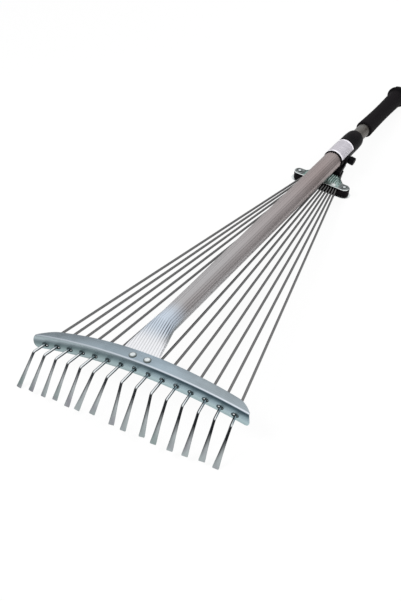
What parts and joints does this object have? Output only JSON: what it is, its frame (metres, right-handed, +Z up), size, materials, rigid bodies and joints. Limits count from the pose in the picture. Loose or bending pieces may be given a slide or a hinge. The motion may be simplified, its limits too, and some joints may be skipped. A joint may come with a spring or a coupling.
{
  "type": "folding rake",
  "caption": "Adjustable wire leaf rake: a hub sliding on a telescopic fluted handle spreads or closes flat-tipped tines that pass through a curved spreader bar.",
  "frame": {"origin": "under the middle of the closed rake, on the surface that it lies on", "axes": "+Y along the tool from the tines towards the grip, +X to the right seen from behind the tines with the handle pointing away, +Z up"},
  "size_m": [0.2912, 0.818, 0.0739],
  "materials": {
    "zinc_plate": "bluish zinc plate, satin",
    "rivet_steel": "bright plated",
    "fluted_aluminium": "fluted lengthwise, satin",
    "inner_aluminium": "drawn, satin",
    "tine_wire": "plated spring wire",
    "black_plastic": "moulded, satin",
    "white_nylon": "moulded",
    "grip_rubber": "matt",
    "bare_label": "bare film, satin"
  },
  "bodies": {
    "handle": {"spreader_bar": "zinc_plate", "bar_rivet_left": "rivet_steel", "bar_rivet_right": "rivet_steel", "outer_tube": "fluted_aluminium", "ferrule": "white_nylon", "collet_ring": "white_nylon"},
    "slider": {"slider_body": "black_plastic", "label_band": "bare_label", "hub_top_plate": "zinc_plate", "hub_bottom_plate": "zinc_plate", "hub_rivet_left": "rivet_steel", "hub_rivet_right": "rivet_steel", "tine_08": "tine_wire"},
    "knob": {"lock_knob": "black_plastic", "lock_screw": "rivet_steel"},
    "collar": {"lock_collar": "black_plastic"},
    "pole": {"inner_tube": "inner_aluminium", "guide_plug": "white_nylon", "grip": "grip_rubber", "end_cap": "black_plastic"},
    "tine_01": {"tine_01": "tine_wire"},
    "tine_02": {"tine_02": "tine_wire"},
    "tine_03": {"tine_03": "tine_wire"},
    "tine_04": {"tine_04": "tine_wire"},
    "tine_05": {"tine_05": "tine_wire"},
    "tine_06": {"tine_06": "tine_wire"},
    "tine_07": {"tine_07": "tine_wire"},
    "tine_09": {"tine_09": "tine_wire"},
    "tine_10": {"tine_10": "tine_wire"},
    "tine_11": {"tine_11": "tine_wire"},
    "tine_12": {"tine_12": "tine_wire"},
    "tine_13": {"tine_13": "tine_wire"},
    "tine_14": {"tine_14": "tine_wire"},
    "tine_15": {"tine_15": "tine_wire"}
  },
  "joints": [
    {"name": "hub_slide", "type": "slide", "parent": "handle", "child": "slider", "axis": [0, -0.9979, 0.0647], "range_m": [0, 0.12]},
    {"name": "knob_turn", "type": "hinge", "parent": "slider", "child": "knob", "pos_m": [0.01705, 0.17808, 0.02555], "axis": [0.9563, -0.0189, -0.2918], "range_deg": [0, 270]},
    {"name": "collar_twist", "type": "hinge", "parent": "handle", "child": "collar", "pos_m": [0.0006, 0.20016, 0.02916], "axis": [0, 0.9979, -0.0647], "range_deg": [0, 120]},
    {"name": "handle_extend", "type": "slide", "parent": "handle", "child": "pole", "axis": [0, 0.9979, -0.0647], "range_m": [0, 0.38]},
    {"name": "fan_01", "type": "hinge", "parent": "slider", "child": "tine_01", "pos_m": [-0.02406, 0.12665, 0.02065], "axis": [-0.1772, 0.0636, 0.9821], "range_deg": [-3.93, 0]},
    {"name": "fan_02", "type": "hinge", "parent": "slider", "child": "tine_02", "pos_m": [-0.02213, 0.11956, 0.02038], "axis": [-0.1641, 0.0638, 0.9844], "range_deg": [-3.47, 0]},
    {"name": "fan_03", "type": "hinge", "parent": "slider", "child": "tine_03", "pos_m": [-0.01725, 0.12806, 0.0196], "axis": [-0.1523, 0.0639, 0.9863], "range_deg": [-2.86, 0]},
    {"name": "fan_04", "type": "hinge", "parent": "slider", "child": "tine_04", "pos_m": [-0.01482, 0.12065, 0.01945], "axis": [-0.1432, 0.064, 0.9876], "range_deg": [-2.35, 0]},
    {"name": "fan_05", "type": "hinge", "parent": "slider", "child": "tine_05", "pos_m": [-0.01043, 0.12897, 0.01858], "axis": [-0.1396, 0.064, 0.9881], "range_deg": [-1.73, 0]},
    {"name": "fan_06", "type": "hinge", "parent": "slider", "child": "tine_06", "pos_m": [-0.00751, 0.12127, 0.01852], "axis": [-0.1497, 0.0639, 0.9867], "range_deg": [-1.18, 0]},
    {"name": "fan_07", "type": "hinge", "parent": "slider", "child": "tine_07", "pos_m": [-0.00361, 0.1294, 0.01759], "axis": [-0.2163, 0.0631, 0.9743], "range_deg": [-0.58, 0]},
    {"name": "fan_09", "type": "hinge", "parent": "slider", "child": "tine_09", "pos_m": [0.00321, 0.12934, 0.01663], "axis": [0.1371, 0.0641, 0.9885], "range_deg": [0, 0.64]},
    {"name": "fan_10", "type": "hinge", "parent": "slider", "child": "tine_10", "pos_m": [0.00713, 0.12115, 0.01664], "axis": [0.081, 0.0645, 0.9946], "range_deg": [0, 1.24]},
    {"name": "fan_11", "type": "hinge", "parent": "slider", "child": "tine_11", "pos_m": [0.01003, 0.12879, 0.01571], "axis": [0.073, 0.0645, 0.9952], "range_deg": [0, 1.78]},
    {"name": "fan_12", "type": "hinge", "parent": "slider", "child": "tine_12", "pos_m": [0.01445, 0.1204, 0.01569], "axis": [0.0776, 0.0645, 0.9949], "range_deg": [0, 2.39]},
    {"name": "fan_13", "type": "hinge", "parent": "slider", "child": "tine_13", "pos_m": [0.01685, 0.12775, 0.01482], "axis": [0.0873, 0.0644, 0.9941], "range_deg": [0, 2.89]},
    {"name": "fan_14", "type": "hinge", "parent": "slider", "child": "tine_14", "pos_m": [0.02176, 0.11919, 0.01474], "axis": [0.0995, 0.0643, 0.993], "range_deg": [0, 3.5]},
    {"name": "fan_15", "type": "hinge", "parent": "slider", "child": "tine_15", "pos_m": [0.02366, 0.12622, 0.01395], "axis": [0.1132, 0.0643, 0.9915], "range_deg": [0, 3.95]}
  ],
  "couplings": [
    {"joint": "fan_01", "follows": "hub_slide", "rad_per_m": -0.55764},
    {"joint": "fan_02", "follows": "hub_slide", "rad_per_m": -0.49251},
    {"joint": "fan_03", "follows": "hub_slide", "rad_per_m": -0.40477},
    {"joint": "fan_04", "follows": "hub_slide", "rad_per_m": -0.33228},
    {"joint": "fan_05", "follows": "hub_slide", "rad_per_m": -0.24442},
    {"joint": "fan_06", "follows": "hub_slide", "rad_per_m": -0.16599},
    {"joint": "fan_07", "follows": "hub_slide", "rad_per_m": -0.08025},
    {"joint": "fan_09", "follows": "hub_slide", "rad_per_m": 0.08799},
    {"joint": "fan_10", "follows": "hub_slide", "rad_per_m": 0.1736},
    {"joint": "fan_11", "follows": "hub_slide", "rad_per_m": 0.2513},
    {"joint": "fan_12", "follows": "hub_slide", "rad_per_m": 0.33851},
    {"joint": "fan_13", "follows": "hub_slide", "rad_per_m": 0.4099},
    {"joint": "fan_14", "follows": "hub_slide", "rad_per_m": 0.49662},
    {"joint": "fan_15", "follows": "hub_slide", "rad_per_m": 0.56046}
  ]
}
